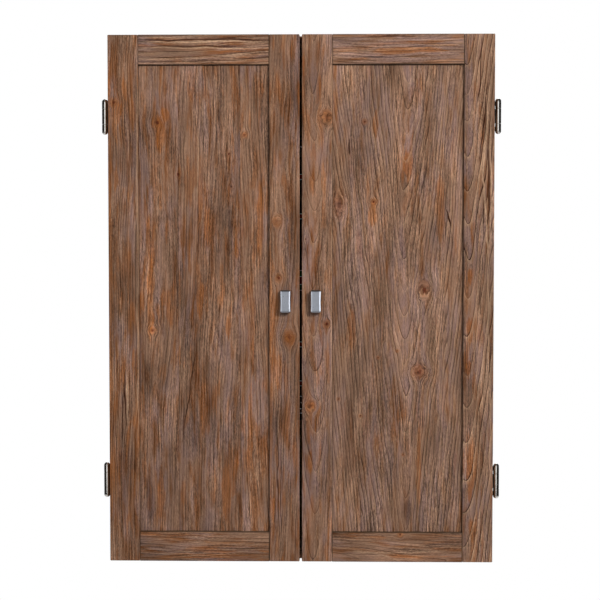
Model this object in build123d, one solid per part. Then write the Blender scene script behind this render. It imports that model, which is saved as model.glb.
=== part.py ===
from build123d import *

import os
from math import cos, radians, sin

# Millimetres. The wall is the plane y = 0 and the front looks towards -Y. The height z = 0 is
# the middle of the dartboard, so the origin is the point on the wall behind the bull.

# Case
door_pair_w = 610.0
height = 836.0
bull_above_middle = 30.0
case_depth = 90.0
case_t = 18.0
back_t = 6.0
rabbet_w = 8.0
rail_t = 18.0
hanging_rail_h = 70.0
batten_h = 90.0
liner_t = 6.0
board_ease = 1.5
joint_ease = 0.8

# Doors
door_t = 20.0
door_gap = 2.5
centre_gap = 3.7
stile_w = 48.0
door_rail_h = 47.0
panel_t = 8.0
panel_recess = 6.0
groove_depth = 6.5
tenon_len = 6.0
panel_shrink_gap = 0.8

# Wall screws: two in each hanging rail, at the usual spacing of wall studs
stud_spacing = 406.4
wall_hole_r = 3.0

# Butt hinges
hinge_from_end = 127.0
hinge_axis_out = 7.7
barrel_r = 4.7
barrel_h = 47.0
leaf_h = 50.8
leaf_t = 1.2
leaf_reach = 12.0
middle_knuckle_h = 24.0
knuckle_gap = 0.15
tongue_notch = 4.2
knuckle_chamfer = 0.45
pin_r = 2.4
pin_fit = 0.05
leaf_screw_z = 17.0

# Strip pulls
pull_x = 24.0
pull_below_middle = 2.0
pull_w = 16.3
pull_h = 36.0
pull_out = 14.0
pull_strip_t = 3.0
pull_leg_t = 6.0
pull_bend_r = 4.0
pull_screw_r = 2.0

# Magnetic catches and bumpers
catch_w = 64.0
catch_h = 12.0
catch_d = 16.5
magnet_x = 14.0
magnet_size = (14.0, 7.4, 6.0)
magnet_proud = 0.9
strike_size = (18.0, 1.0, 12.0)
bumper_r = 4.0
bumper_x = 40.0

# Scoreboard and dart rack on the inside of each door
scoreboard_t = 3.0
scoreboard_low = -270.0
rack_len = 183.0
rack_depth = 28.0
rack_t = 14.0
rack_low = -330.0
rack_slots = 3
slot_w = 9.0
slot_depth = 16.0
slot_pitch = 46.0

# Dartboard
board_r = 225.5
board_t = 38.0
backer_t = 8.0
band_t = 0.8
board_standoff = 10.0
wire_w = 1.1
wire_t = 1.3
bull_r = 6.35
outer_bull_r = 15.9
treble_r = 107.0
double_r = 170.0
ring_w = 8.0
segments = 20
number_order = (20, 1, 18, 4, 13, 6, 10, 15, 2, 17, 3, 19, 7, 16, 8, 11, 14, 9, 12, 5)
number_ring_r = 214.0
number_wire_r = 1.2
number_gap = 0.3
numeral_r = 197.0
numeral_h = 20.0
numeral_w = 9.0
numeral_stroke = 1.8
clips = 6
foot_r = 12.0
foot_circle_r = 185.0
pivot_r = 2.45
pivot_fit = 0.1
pivot_head_r = 7.0

# Worked out from the above
half_w = door_pair_w / 2
case_low = -height / 2 - bull_above_middle
case_high = case_low + height
case_front = -case_depth
inner_x = half_w - case_t
inner_low = case_low + case_t
inner_high = case_high - case_t
rail_back = -back_t
rail_front = rail_back - rail_t
liner_front = rail_front - liner_t
door_back = case_front - door_gap
door_front = door_back - door_t
panel_front = door_front + panel_recess
panel_back = panel_front + panel_t
stile_in_x = half_w - stile_w
centre_stile_x = centre_gap / 2 + stile_w
axis_x = half_w + hinge_axis_out
axis_y = case_front - door_gap / 2
hinge_heights = (case_high - hinge_from_end, case_low + hinge_from_end)
wall_hole_heights = (inner_high - hanging_rail_h / 2, inner_low + hanging_rail_h / 2)
pull_z = (case_low + case_high) / 2 - pull_below_middle
pull_screw_heights = [pull_z + s * (pull_h - pull_leg_t) / 2 for s in (-1, 1)]
board_back = liner_front - board_standoff
board_face = board_back - board_t
ring_y = board_face - number_gap - number_wire_r

# Strokes of each digit on a grid one unit wide and two units high
DIGITS = {
    "0": [(0, 0), (0, 2), (1, 2), (1, 0), (0, 0)],
    "1": [(0.5, 0), (0.5, 2)],
    "2": [(0, 2), (1, 2), (1, 1), (0, 1), (0, 0), (1, 0)],
    "3": [(0, 2), (1, 2), (1, 1), (0.3, 1), (1, 1), (1, 0), (0, 0)],
    "4": [(0, 2), (0, 1), (1, 1), (1, 2), (1, 0)],
    "5": [(1, 2), (0, 2), (0, 1), (1, 1), (1, 0), (0, 0)],
    "6": [(1, 2), (0, 2), (0, 0), (1, 0), (1, 1), (0, 1)],
    "7": [(0, 2), (1, 2), (1, 0)],
    "8": [(0, 1), (0, 2), (1, 2), (1, 0), (0, 0), (0, 1), (1, 1)],
    "9": [(1, 1), (0, 1), (0, 2), (1, 2), (1, 0), (0, 0)],
}


def block(x, y, z):
    """A box between two limits on each axis, given in either order."""
    low = [min(pair) for pair in (x, y, z)]
    size = [max(pair) - min(pair) for pair in (x, y, z)]
    return Pos(*low) * Box(*size, align=(Align.MIN,) * 3)


def eased(board, radius):
    """A board with all its edges rounded over."""
    return fillet(board.edges(), radius)


def rod(x, z, radius, y_from, y_to):
    """A round bar along Y."""
    middle = Pos(x, (y_from + y_to) / 2, z) * Rot(90, 0, 0)
    return middle * Cylinder(radius, abs(y_to - y_from))


def wood_screw(x, z, head_y, direction, shank_r, length, head_r):
    """A countersunk screw along Y: head flush at head_y, point towards direction."""
    head_h = head_r - shank_r
    cone = Cone(head_r, shank_r, head_h, align=(Align.CENTER, Align.CENTER, Align.MIN))
    turn = Rot(-90, 0, 0) if direction > 0 else Rot(90, 0, 0)
    shank = rod(x, z, shank_r, head_y + direction * head_h, head_y + direction * length)
    return Pos(x, head_y, z) * turn * cone + shank


def pan_screw(x, z, head_y, direction, shank_r, length, head_r, head_h):
    """A pan head screw along Y: underside of the head at head_y."""
    head = rod(x, z, head_r, head_y - direction * head_h, head_y)
    return head + rod(x, z, shank_r, head_y, head_y + direction * length)


def group(solids):
    """Separate solids of one node."""
    return Compound(children=[solid for part in solids for solid in part.solids()])


def mirrored(part):
    """The same part on the other side of the middle plane."""
    return mirror(part, about=Plane.YZ)


# ---- Case ----


def back_rabbet():
    """The space that the back panel fills."""
    x_edge = inner_x + rabbet_w
    z_edges = (inner_low - rabbet_w, inner_high + rabbet_w)
    return block((-x_edge, x_edge), (rail_back, 0), z_edges)


def case_side():
    """Left side of the case, full height."""
    board = block((-half_w, -inner_x), (case_front, 0), (case_low, case_high))
    outer = board.edges().filter_by(Axis.Z).group_by(Axis.X)[0]
    return fillet(outer, board_ease) - back_rabbet()


def case_shelf(z_from, z_to):
    """Top or bottom of the case, held between its sides."""
    return block((-inner_x, inner_x), (case_front, 0), (z_from, z_to)) - back_rabbet()


def wall_holes():
    """Clearance holes for the four wall screws."""
    places = [(s * stud_spacing / 2, z) for s in (-1, 1) for z in wall_hole_heights]
    return group([rod(x, z, wall_hole_r, 1, liner_front - 1) for x, z in places])


def crosspiece(z_from, z_to):
    """A rail or batten across the back of the case."""
    return block((-inner_x, inner_x), (rail_front, rail_back), (z_from, z_to)) - wall_holes()


def cork_liner():
    """Cork sheet that covers the back of the case and saves the points of stray darts."""
    z = (inner_low, inner_high)
    return block((-inner_x, inner_x), (liner_front, rail_front), z) - wall_holes()


def case_dowels():
    """Two dowels in each corner of the case."""
    solids = []
    for side in (-1, 1):
        for z in (case_low + case_t / 2, case_high - case_t / 2):
            for y in (case_front * 0.25, case_front * 0.75):
                solids.append(Pos(side * (inner_x - 4), y, z) * Rot(0, 90, 0) * Cylinder(4, 32))
    return group(solids)


def back_panel_screws():
    """Countersunk screws through the back panel into both rails and the batten."""
    heights = (wall_hole_heights[0], 0, wall_hole_heights[1])
    places = [(x, z) for x in (-inner_x + 20, -90, 90, inner_x - 20) for z in heights]
    return group([wood_screw(x, z, 0, -1, 1.6, 20, 3.2) for x, z in places])


# ---- Hinges ----


def knuckle(side, z_middle, z_from, z_to, bore_r):
    """One rolled knuckle of a hinge leaf on the left (-1) or right (1) of the case."""
    middle = Pos(side * axis_x, axis_y, z_middle + (z_from + z_to) / 2)
    roll = Cylinder(barrel_r, z_to - z_from)
    roll = chamfer(roll.edges().filter_by(GeomType.CIRCLE), knuckle_chamfer)
    return middle * (roll - Cylinder(bore_r, z_to - z_from))


def tongue(side, z_middle, z_from, z_to, y):
    """The strip that joins a knuckle to its leaf."""
    x = (side * (axis_x - barrel_r + 0.6), side * (half_w - 0.5))
    return block(x, y, (z_middle + z_from, z_middle + z_to))


def leaf_plate(side, z_middle, y):
    """The flat plate of a leaf, against the wood."""
    x = (side * (half_w - 0.2), side * (half_w - leaf_reach))
    return block(x, y, (z_middle - leaf_h / 2, z_middle + leaf_h / 2))


def leaf_screws(side, head_y, direction):
    """The four screws of the upper and lower leaves on one side."""
    x = side * (half_w - leaf_reach / 2)
    heights = [z + s * leaf_screw_z for z in hinge_heights for s in (-1, 1)]
    return [wood_screw(x, z, head_y, direction, 1.4, 16, 2.6) for z in heights]


def case_leaves(side):
    """Upper and lower leaf on the case, each with the two end knuckles."""
    y = (case_front, case_front - leaf_t)
    low = middle_knuckle_h / 2 + knuckle_gap
    high = barrel_h / 2
    leaves = []
    for z in hinge_heights:
        leaf = leaf_plate(side, z, y)
        for z_from, z_to in ((low, high), (-high, -low)):
            notch = tongue_notch if z_from > 0 else 0
            top_notch = 0 if z_from > 0 else tongue_notch
            leaf += tongue(side, z, z_from + notch, z_to - top_notch, y)
            leaf += knuckle(side, z, z_from, z_to, pin_r + pin_fit)
        leaves.append(leaf)
    return group([leaf - group(leaf_screws(side, y[1], 1)) for leaf in leaves])


def door_leaves(side):
    """Upper and lower leaf on a door, each with the middle knuckle."""
    y = (door_back, door_back + leaf_t)
    half = middle_knuckle_h / 2
    leaves = []
    for z in hinge_heights:
        leaf = leaf_plate(side, z, y)
        leaf += tongue(side, z, knuckle_chamfer - half, half - knuckle_chamfer, y)
        leaf += knuckle(side, z, -half, half, pin_r + pin_fit)
        leaves.append(leaf)
    return group([leaf - group(leaf_screws(side, y[1], -1)) for leaf in leaves])


def hinge_pins():
    """Four pins, each with a domed tip at both ends."""
    dome = Sphere(barrel_r) & Pos(0, 0, barrel_r) * Box(20, 20, 2 * barrel_r)
    pin = Cylinder(pin_r, barrel_h) + Pos(0, 0, barrel_h / 2) * dome
    pin += Pos(0, 0, -barrel_h / 2) * mirror(dome, about=Plane.XY)
    return group([Pos(side * axis_x, axis_y, z) * pin for side in (-1, 1) for z in hinge_heights])


# ---- Catches ----


def catch_magnet_blocks():
    """Two magnets in each catch, one for each door."""
    wide, deep, high = magnet_size
    y = case_front - magnet_proud - 0.5 + deep / 2
    heights = (inner_high - catch_h / 2, inner_low + catch_h / 2)
    places = [(x, z) for z in heights for x in (-magnet_x, magnet_x)]
    return [Pos(x, y, z) * Box(wide, deep, high) for x, z in places]


def catch_body(z_from, z_to):
    """Moulded body of a double magnetic catch."""
    y = (case_front - 0.5, case_front - 0.5 + catch_d)
    shell = block((-catch_w / 2, catch_w / 2), y, (z_from, z_to))
    shell = fillet(shell.edges().filter_by(Axis.Z), 2)
    return shell - group(catch_magnet_blocks()) - catch_screws()


def catch_screws():
    """Two screws hold each catch to the top or bottom of the case."""
    y = case_front + catch_d / 2
    solids = []
    for end, toward in ((inner_high, 1), (inner_low, -1)):
        for x in (-catch_w / 2 + 6, catch_w / 2 - 6):
            head = Pos(x, y, end - toward * (catch_h - 1)) * Cylinder(3, 2)
            shank = Pos(x, y, end - toward * (catch_h - 2) + toward * 11) * Cylinder(1.5, 22)
            solids.append(head + shank)
    return group(solids)


# ---- Doors, made on the left and mirrored for the right ----


def stile(x_outer, x_inner, groove_side):
    """Full-height side piece of a door frame, grooved on the panel side."""
    z = (case_low, case_high)
    board = eased(block((x_outer, x_inner), (door_front, door_back), z), board_ease)
    edge = x_inner if groove_side > 0 else x_outer
    return board - block((edge, edge - groove_side * groove_depth), (panel_front, panel_back), z)


def door_rail(z_outer, z_inner):
    """Cross piece of a door frame, with a stub tenon at each end and a groove for the panel."""
    z = (z_outer, z_inner)
    body = block((-stile_in_x, -centre_stile_x), (door_front, door_back), z)
    ends = (-stile_in_x - tenon_len, -centre_stile_x + tenon_len)
    tenons = block(ends, (panel_front, panel_back), z)
    depth = groove_depth if z_inner > z_outer else -groove_depth
    groove = block((-half_w, 0), (panel_front, panel_back), (z_inner - depth, z_inner))
    return eased(body, joint_ease) + tenons - groove


def door_panel():
    """Flat panel, loose in the grooves so that it can swell and shrink."""
    reach = groove_depth - panel_shrink_gap
    x = (-stile_in_x - reach, -centre_stile_x + reach)
    z = (case_low + door_rail_h - reach, case_high - door_rail_h + reach)
    return block(x, (panel_front, panel_back), z)


def scoreboard():
    """Chalkboard sheet in the recess behind the panel."""
    x = (-stile_in_x + 1, -centre_stile_x - 1)
    z = (scoreboard_low, case_high - door_rail_h - 1)
    return block(x, (panel_back, panel_back + scoreboard_t), z)


def scoreboard_screws():
    """Six small pan head screws round the scoreboard."""
    high = case_high - door_rail_h - 9
    y = panel_back + scoreboard_t
    places = [
        (x, z)
        for x in (-stile_in_x + 8, -centre_stile_x - 8)
        for z in (scoreboard_low + 8, (scoreboard_low + high) / 2, high)
    ]
    return group([pan_screw(x, z, y, -1, 1.2, 7, 2.8, 1.5) for x, z in places])


def rack_middle_x():
    return -(stile_in_x + centre_stile_x) / 2


def dart_rack():
    """Bar with open slots that darts hang in by their flights."""
    x = rack_middle_x()
    y = (panel_back, panel_back + rack_depth)
    bar = block((x - rack_len / 2, x + rack_len / 2), y, (rack_low, rack_low + rack_t))
    bar = eased(bar, joint_ease)
    for i in range(rack_slots):
        slot_x = x + (i - (rack_slots - 1) / 2) * slot_pitch
        depth = slot_depth - slot_w / 2
        sides = (slot_x - slot_w / 2, slot_x + slot_w / 2)
        heights = (rack_low - 1, rack_low + rack_t + 1)
        bar -= block(sides, (y[1] + 1, y[1] - depth), heights)
        bar -= Pos(slot_x, y[1] - depth, rack_low + rack_t / 2) * Cylinder(slot_w / 2, rack_t + 2)
    return bar


def rack_screws():
    """Two long screws through the solid stretches of the rack into the panel."""
    y = panel_back + rack_depth
    z = rack_low + rack_t / 2
    places = [rack_middle_x() + s * slot_pitch / 2 for s in (-1, 1)]
    return group([wood_screw(x, z, y, -1, 1.8, rack_depth + 5.5, 3.5) for x in places])


def pull():
    """Bridge pull bent from strip: a flat front on two solid legs."""
    middle = Pos(-pull_x, door_front, pull_z)
    x = (-pull_w / 2, pull_w / 2)
    body = block(x, (-pull_out, 0), (-pull_h / 2, pull_h / 2))
    bends = body.edges().filter_by(Axis.X).group_by(Axis.Y)[0]
    body = fillet(bends, pull_bend_r)
    opening = pull_h / 2 - pull_leg_t
    inside = block((x[0] - 1, x[1] + 1), (-pull_out + pull_strip_t, 1), (-opening, opening))
    inner = inside.edges().filter_by(Axis.X).group_by(Axis.Y)[0]
    body -= fillet(inner, 1.5)
    return middle * body - pull_screws()


def pull_screws():
    """Two machine screws from inside the door into the legs of the pull."""
    length = door_t + pull_out - 5
    screws = [
        pan_screw(-pull_x, z, door_back, -1, pull_screw_r, length, 3.6, 1.8)
        for z in pull_screw_heights
    ]
    return group(screws)


def strike_plates():
    """Steel plates on the door that the magnets hold."""
    wide, thick, high = strike_size
    solids = []
    for z in (inner_high - catch_h / 2, inner_low + catch_h / 2):
        x = (-magnet_x - wide / 2, -magnet_x + wide / 2)
        solids.append(block(x, (door_back, door_back + thick), (z - high / 2, z + high / 2)))
    return group([fillet(plate.edges().filter_by(Axis.Y), 2) for plate in solids])


def bumpers():
    """Rubber bumpers that meet the front edge of the case's top and bottom."""
    heights = (case_high - case_t / 2, case_low + case_t / 2)
    return group([rod(-bumper_x, z, bumper_r, door_back, case_front - 0.05) for z in heights])


def door(name):
    """The nodes of the left door."""
    screws = [
        ("pull_screws", pull_screws()),
        ("leaf_screws", group(leaf_screws(-1, door_back + leaf_t, -1))),
        ("rack_screws", rack_screws()),
        ("scoreboard_screws", scoreboard_screws()),
    ]
    hole_r = pull_screw_r + 0.25
    pull_holes = group([rod(-pull_x, z, hole_r, door_back, door_front) for z in pull_screw_heights])
    return {
        f"{name}_outer_stile": stile(-half_w, -stile_in_x, 1),
        f"{name}_inner_stile": stile(-centre_stile_x, -centre_gap / 2, -1) - pull_holes,
        f"{name}_top_rail": door_rail(case_high, case_high - door_rail_h),
        f"{name}_bottom_rail": door_rail(case_low, case_low + door_rail_h),
        f"{name}_panel": door_panel(),
        f"{name}_scoreboard": scoreboard(),
        f"{name}_dart_rack": dart_rack(),
        f"{name}_pull": pull(),
        f"{name}_hinge_leaves": door_leaves(-1),
        f"{name}_strike_plates": strike_plates(),
        f"{name}_bumpers": bumpers(),
        **{f"{name}_{key}": part for key, part in screws},
    }


# ---- Dartboard ----


def on_face(sketch, y, thickness):
    """A sketch drawn in X and Z, raised towards the front from the plane at y."""
    plane = Plane(origin=(0, y, 0), x_dir=(1, 0, 0), z_dir=(0, -1, 0))
    return extrude(plane * sketch, thickness)


def disc(radius, y_from, y_to, hole_r=0.0):
    """A round plate with its axis along Y."""
    plate = rod(0, 0, radius, y_from, y_to)
    return plate - rod(0, 0, hole_r, y_from, y_to) if hole_r else plate


def dartboard_wires():
    """Welded frame: six rings and twenty straight wires."""
    half = wire_w / 2
    radii = (bull_r, outer_bull_r, treble_r - ring_w, treble_r, double_r - ring_w, double_r)
    frame = Sketch()
    for radius in radii:
        frame += Circle(radius + half) - Circle(radius - half)
    length = double_r - outer_bull_r
    for i in range(segments):
        angle = 360 / segments * (i + 0.5)
        frame += Rot(0, 0, angle) * Pos(outer_bull_r + length / 2, 0) * Rectangle(length, wire_w)
    return on_face(frame, board_face, wire_t)


def stroke(start, end):
    """One straight stroke of a numeral, square at both ends."""
    along = ((end[0] - start[0]) ** 2 + (end[1] - start[1]) ** 2) ** 0.5
    upright = abs(end[0] - start[0]) < 1e-6
    bar = Rectangle(along + numeral_stroke, numeral_stroke)
    middle = Pos((start[0] + end[0]) / 2, (start[1] + end[1]) / 2)
    return middle * Rot(0, 0, 90 if upright else 0) * bar


def numeral(number, outward):
    """A number drawn with square strokes about its own middle, with a short wire from each
    digit towards the hoop: outward is 1 with the hoop above the digits and -1 with it below.
    """
    digits = str(number)
    pitch = numeral_w + 4
    stem = number_ring_r - numeral_r - numeral_h / 2
    drawing = Sketch()
    for place, digit in enumerate(digits):
        left = (place - (len(digits) - 1) / 2) * pitch - numeral_w / 2
        points = [(left + x * numeral_w, (y - 1) * numeral_h / 2) for x, y in DIGITS[digit]]
        for start, end in zip(points, points[1:]):
            drawing += stroke(start, end)
        stem_x = left + numeral_w * (0.5 if digit == "1" else 1)
        drawing += Pos(stem_x, outward * (numeral_h + stem) / 2) * Rectangle(numeral_stroke, stem)
    return drawing


def number_ring():
    """Wire hoop with the twenty numbers, each the right way up for a player in front."""
    numbers = Sketch()
    for i, number in enumerate(number_order):
        angle = 360 / segments * i
        outward = -1 if 90 < angle < 270 else 1
        place = Rot(0, 0, -angle) * Pos(0, numeral_r)
        numbers += place * Rot(0, 0, 0 if outward > 0 else 180) * numeral(number, outward)
    flat = on_face(numbers, ring_y + 0.8, 1.6)
    hoop = Pos(0, ring_y, 0) * Rot(90, 0, 0) * Torus(number_ring_r, number_wire_r)
    return hoop + flat


def ring_clips():
    """Clips on the rim of the board that hold the number ring down but let it turn."""
    under = ring_y - number_wire_r - number_gap
    post_in = number_ring_r + number_wire_r + 2.3
    post = block((-5, 5), (board_face, under - 0.8), (post_in, post_in + 5.5))
    finger = block((-5, 5), (under, under - 0.8), (number_ring_r - 3, post_in))
    clip = post + finger
    return group([Rot(0, 360 / clips * (i + 0.5), 0) * clip for i in range(clips)])


def board_bracket():
    """Steel bracket on the liner, with a slot that the pivot screw drops into."""
    base = block((-35, 35), (liner_front, liner_front - 1.5), (-35, 22))
    hat = block((-16, 16), (liner_front, liner_front - 7.5), (-14, 22))
    hat -= block((-14.5, 14.5), (liner_front - 1.5, liner_front - 6), (-12.5, 23))
    slot_r = pivot_r + pivot_fit
    slot = rod(0, 0, slot_r, liner_front - 5, liner_front - 8)
    slot += block((-slot_r, slot_r), (liner_front - 5, liner_front - 8), (0, 23))
    return base + hat - slot - board_bracket_screws()


def board_bracket_screws():
    """Four screws through the bracket and liner into the batten."""
    places = [(x, z) for x in (-26, 26) for z in (-27, 14)]
    return group([wood_screw(x, z, liner_front - 1.5, 1, 1.8, 20, 3.3) for x, z in places])


def board_pivot_screw():
    """Screw in the middle of the board's back, with its head inside the bracket."""
    head = rod(0, 0, pivot_head_r, liner_front - 3.6, liner_front - 5.6)
    return head + rod(0, 0, pivot_r, liner_front - 5.6, board_back - 20)


def board_feet():
    """Three rubber feet that keep the board parallel to the liner."""
    feet = []
    for turn in (0, 120, 240):
        x = foot_circle_r * sin(radians(turn))
        z = foot_circle_r * cos(radians(turn))
        feet.append(rod(x, z, foot_r, board_back, liner_front - 0.3))
    return group(feet)


def nodes():
    """Every node of the assembly by name."""
    sisal_back = board_back - backer_t
    upper_catch = catch_body(inner_high - catch_h, inner_high)
    lower_catch = catch_body(inner_low, inner_low + catch_h)
    left = door("left")
    right = {key.replace("left", "right"): mirrored(part) for key, part in left.items()}
    holes = wall_holes()
    case_screws = [s for side in (-1, 1) for s in leaf_screws(side, case_front - leaf_t, 1)]
    return {
        "case_left_side": case_side(),
        "case_right_side": mirrored(case_side()),
        "case_top": case_shelf(inner_high, case_high),
        "case_bottom": case_shelf(case_low, inner_low),
        "back_panel": back_rabbet() - holes - back_panel_screws(),
        "upper_hanging_rail": crosspiece(inner_high - hanging_rail_h, inner_high),
        "lower_hanging_rail": crosspiece(inner_low, inner_low + hanging_rail_h),
        "board_batten": crosspiece(-batten_h / 2, batten_h / 2),
        "cork_liner": cork_liner(),
        "case_dowels": case_dowels(),
        "back_panel_screws": back_panel_screws(),
        "left_case_leaves": case_leaves(-1),
        "right_case_leaves": case_leaves(1),
        "case_leaf_screws": group(case_screws),
        "hinge_pins": hinge_pins(),
        "upper_catch": upper_catch,
        "lower_catch": lower_catch,
        "catch_magnets": group(catch_magnet_blocks()),
        "catch_screws": catch_screws(),
        "board_bracket": board_bracket(),
        "board_bracket_screws": board_bracket_screws(),
        **left,
        **right,
        "dartboard_backer": disc(board_r - band_t, board_back, sisal_back),
        "dartboard_sisal": disc(board_r - band_t, sisal_back, board_face),
        "dartboard_rim": disc(board_r, board_back, board_face, board_r - band_t),
        "dartboard_wires": dartboard_wires(),
        "ring_clips": ring_clips(),
        "board_pivot_screw": board_pivot_screw(),
        "board_feet": board_feet(),
        "number_ring": number_ring(),
    }


os.makedirs("parts", exist_ok=True)
for node, shape in nodes().items():
    export_step(shape, f"parts/{node}.step")
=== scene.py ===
import math
import random
from functools import partial

import bmesh
import bpy
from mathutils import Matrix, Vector


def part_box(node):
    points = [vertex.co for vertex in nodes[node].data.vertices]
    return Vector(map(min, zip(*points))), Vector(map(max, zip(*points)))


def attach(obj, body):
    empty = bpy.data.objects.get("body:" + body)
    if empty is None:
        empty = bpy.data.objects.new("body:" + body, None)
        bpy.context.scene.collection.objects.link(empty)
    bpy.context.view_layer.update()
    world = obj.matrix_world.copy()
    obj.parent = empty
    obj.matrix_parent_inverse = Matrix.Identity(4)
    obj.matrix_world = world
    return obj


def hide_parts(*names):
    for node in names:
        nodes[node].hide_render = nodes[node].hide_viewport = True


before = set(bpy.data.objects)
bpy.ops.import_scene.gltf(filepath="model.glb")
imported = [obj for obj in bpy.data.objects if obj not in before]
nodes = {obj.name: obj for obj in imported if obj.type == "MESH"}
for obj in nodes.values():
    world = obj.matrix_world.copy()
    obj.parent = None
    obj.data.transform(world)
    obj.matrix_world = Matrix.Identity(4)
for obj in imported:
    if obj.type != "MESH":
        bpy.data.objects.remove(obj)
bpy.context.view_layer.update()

MM = 0.001


# ---- Node helpers ----


def colour(red, green, blue):
    """Linear colour of a shade given as it looks on screen, 0 to 255."""
    shade = [c / 255 for c in (red, green, blue)]
    linear = [c / 12.92 if c <= 0.04045 else ((c + 0.055) / 1.055) ** 2.4 for c in shade]
    return (*linear, 1.0)


class Tree:
    """Builds shader nodes with few words."""

    def __init__(self, tree):
        self.tree = tree

    def node(self, kind, **settings):
        made = self.tree.nodes.new("ShaderNode" + kind)
        for key, value in settings.items():
            setattr(made, key, value)
        return made

    def put(self, value, socket):
        """Links another node's output to the socket, or sets it to a plain value."""
        if isinstance(value, bpy.types.NodeSocket):
            self.tree.links.new(value, socket)
        else:
            socket.default_value = value

    def math(self, operation, *values, clamp=False):
        made = self.node("Math", operation=operation, use_clamp=clamp)
        for value, socket in zip(values, made.inputs):
            self.put(value, socket)
        return made.outputs[0]

    def add(self, *values):
        total = values[0]
        for value in values[1:]:
            total = self.math("ADD", total, value)
        return total

    def times(self, *values):
        total = values[0]
        for value in values[1:]:
            total = self.math("MULTIPLY", total, value)
        return total

    def less(self, a, b):
        return self.math("SUBTRACT", a, b)

    def distance(self, a, b):
        """How far the point a, b is from zero."""
        return self.math("SQRT", self.add(self.times(a, a), self.times(b, b)))

    def high(self, *values):
        total = values[0]
        for value in values[1:]:
            total = self.math("MAXIMUM", total, value)
        return total

    def step(self, value, low, high):
        """0 below low, 1 above high, smooth between. Falls where low is above high."""
        made = self.node("MapRange", interpolation_type="SMOOTHSTEP", clamp=True)
        self.put(value, made.inputs["Value"])
        falls = low > high
        made.inputs["From Min"].default_value = high if falls else low
        made.inputs["From Max"].default_value = low if falls else high
        made.inputs["To Min"].default_value = 1.0 if falls else 0.0
        made.inputs["To Max"].default_value = 0.0 if falls else 1.0
        return made.outputs["Result"]

    def vector(self, x=0.0, y=0.0, z=0.0):
        made = self.node("CombineXYZ")
        for value, socket in zip((x, y, z), made.inputs):
            self.put(value, socket)
        return made.outputs[0]

    def parts(self, vector):
        made = self.node("SeparateXYZ")
        self.put(vector, made.inputs[0])
        return made.outputs[0], made.outputs[1], made.outputs[2]

    def stretch(self, vector, x, y, z):
        """The vector measured in grains of x by y by z."""
        made = self.node("VectorMath", operation="DIVIDE")
        self.put(vector, made.inputs[0])
        made.inputs[1].default_value = (x, y, z)
        return made.outputs[0]

    def noise(self, vector, detail=2.0, roughness=0.5, size=None):
        made = self.node("TexNoise")
        self.put(self.stretch(vector, *size) if size else vector, made.inputs["Vector"])
        made.inputs["Scale"].default_value = 1.0
        made.inputs["Detail"].default_value = detail
        made.inputs["Roughness"].default_value = roughness
        return made.outputs["Fac"]

    def wander(self, vector, amount, size, detail=1.0):
        """Noise about zero, from -amount to amount or so."""
        value = self.noise(vector, detail, 0.5, size)
        return self.math("MULTIPLY_ADD", value, 4 * amount, -2 * amount)

    def random(self, value):
        """A number from 0 to 1 that the value picks."""
        made = self.node("TexWhiteNoise", noise_dimensions="1D")
        self.put(value, made.inputs["W"])
        return made.outputs["Value"]

    def mix(self, factor, a, b):
        made = self.node("Mix", data_type="RGBA")
        self.put(factor, made.inputs[0])
        self.put(a, made.inputs[6])
        self.put(b, made.inputs[7])
        return made.outputs[2]

    def gain(self, shade, factor):
        """A shade made brighter or darker."""
        made = self.node("VectorMath", operation="SCALE")
        self.put(shade, made.inputs[0])
        self.put(factor, made.inputs["Scale"])
        return made.outputs[0]

    def place(self):
        """Where a point is in the frame of the cabinet at rest, in millimetres."""
        made = self.node("VectorMath", operation="SCALE")
        self.put(self.node("TexCoord").outputs["Object"], made.inputs[0])
        made.inputs["Scale"].default_value = 1000.0
        return made.outputs[0]

    def call(self, group, **values):
        """Uses a node group. An underscore in a key stands for a space in the socket's name."""
        made = self.node("Group")
        made.node_tree = group
        for key, value in values.items():
            self.put(value, made.inputs[key.replace("_", " ")])
        return made.outputs


def group(name, inputs, outputs):
    """A node group with its sockets. Gives the tree, its inputs by name and a closing function."""
    tree = bpy.data.node_groups.new(name, "ShaderNodeTree")
    for key, kind in inputs.items():
        tree.interface.new_socket(key, in_out="INPUT", socket_type="NodeSocket" + kind)
    for key, kind in outputs.items():
        tree.interface.new_socket(key, in_out="OUTPUT", socket_type="NodeSocket" + kind)
    given = tree.nodes.new("NodeGroupInput")
    result = tree.nodes.new("NodeGroupOutput")

    def close(**values):
        for key, value in values.items():
            tree.links.new(value, result.inputs[key])
        return tree

    return Tree(tree), given.outputs, close


def material(name):
    """A new material: its tree and its shader."""
    made = bpy.data.materials.new(name)
    made.use_nodes = True
    shader = made.node_tree.nodes["Principled BSDF"]
    return made, Tree(made.node_tree), shader


def surface(t, shader, shade, rough, height, relief, specular=0.5, metallic=0.0):
    """Colour, gloss and relief of a surface. The relief is height times relief, in millimetres."""
    t.put(shade, shader.inputs["Base Color"])
    t.put(rough, shader.inputs["Roughness"])
    shader.inputs["Specular IOR Level"].default_value = specular
    shader.inputs["Metallic"].default_value = metallic
    made = t.node("Bump")
    made.inputs["Strength"].default_value = 1.0
    made.inputs["Distance"].default_value = relief * MM
    t.put(height, made.inputs["Height"])
    t.put(made.outputs[0], shader.inputs["Normal"])


# ---- Brushed and stained pine ----

BROWN = colour(110, 64, 31)
WASH = colour(130, 98, 78)
GREY = colour(126, 101, 95)
DARK_LINE = colour(54, 26, 12)
ORANGE = colour(138, 80, 34)
RED_BROWN = colour(84, 34, 17)
# Pale early wood, pale streaks and lime, also used as painted highlight on brushed ridges
PALE_AND_LIT = colour(166, 134, 108)
DUST_AND_SHADE = colour(62, 50, 36)


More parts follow.
